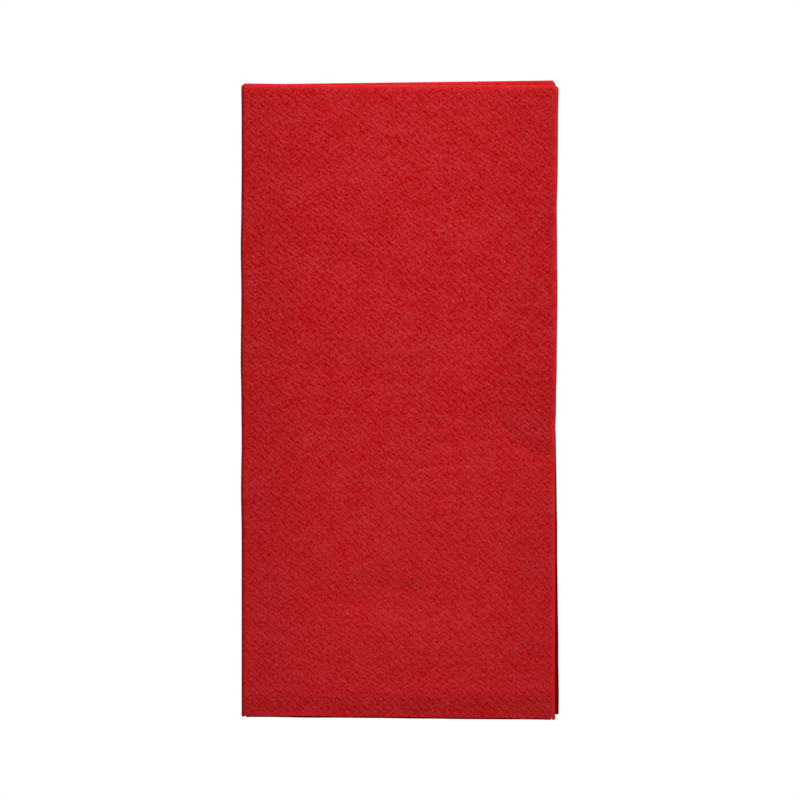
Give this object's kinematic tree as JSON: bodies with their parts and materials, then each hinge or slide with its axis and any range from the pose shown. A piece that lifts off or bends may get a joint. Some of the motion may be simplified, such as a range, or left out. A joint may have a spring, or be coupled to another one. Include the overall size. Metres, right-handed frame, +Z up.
{
  "type": "folded paper napkin",
  "caption": "Square napkin of thick soft embossed paper, folded into a slim flat oblong packet with a round spine, a folded far end and cut near edges.",
  "frame": {"origin": "middle of the packet's footprint, on the surface that it lies on", "axes": "+X from the spine to the open side, +Y from the cut end to the folded end, +Z up from the surface"},
  "size_m": [0.1002, 0.2012, 0.01],
  "materials": {
    "red_paper": "matt dyed soft paper"
  },
  "bodies": {
    "root": {"napkin": "red_paper"}
  },
  "joints": []
}
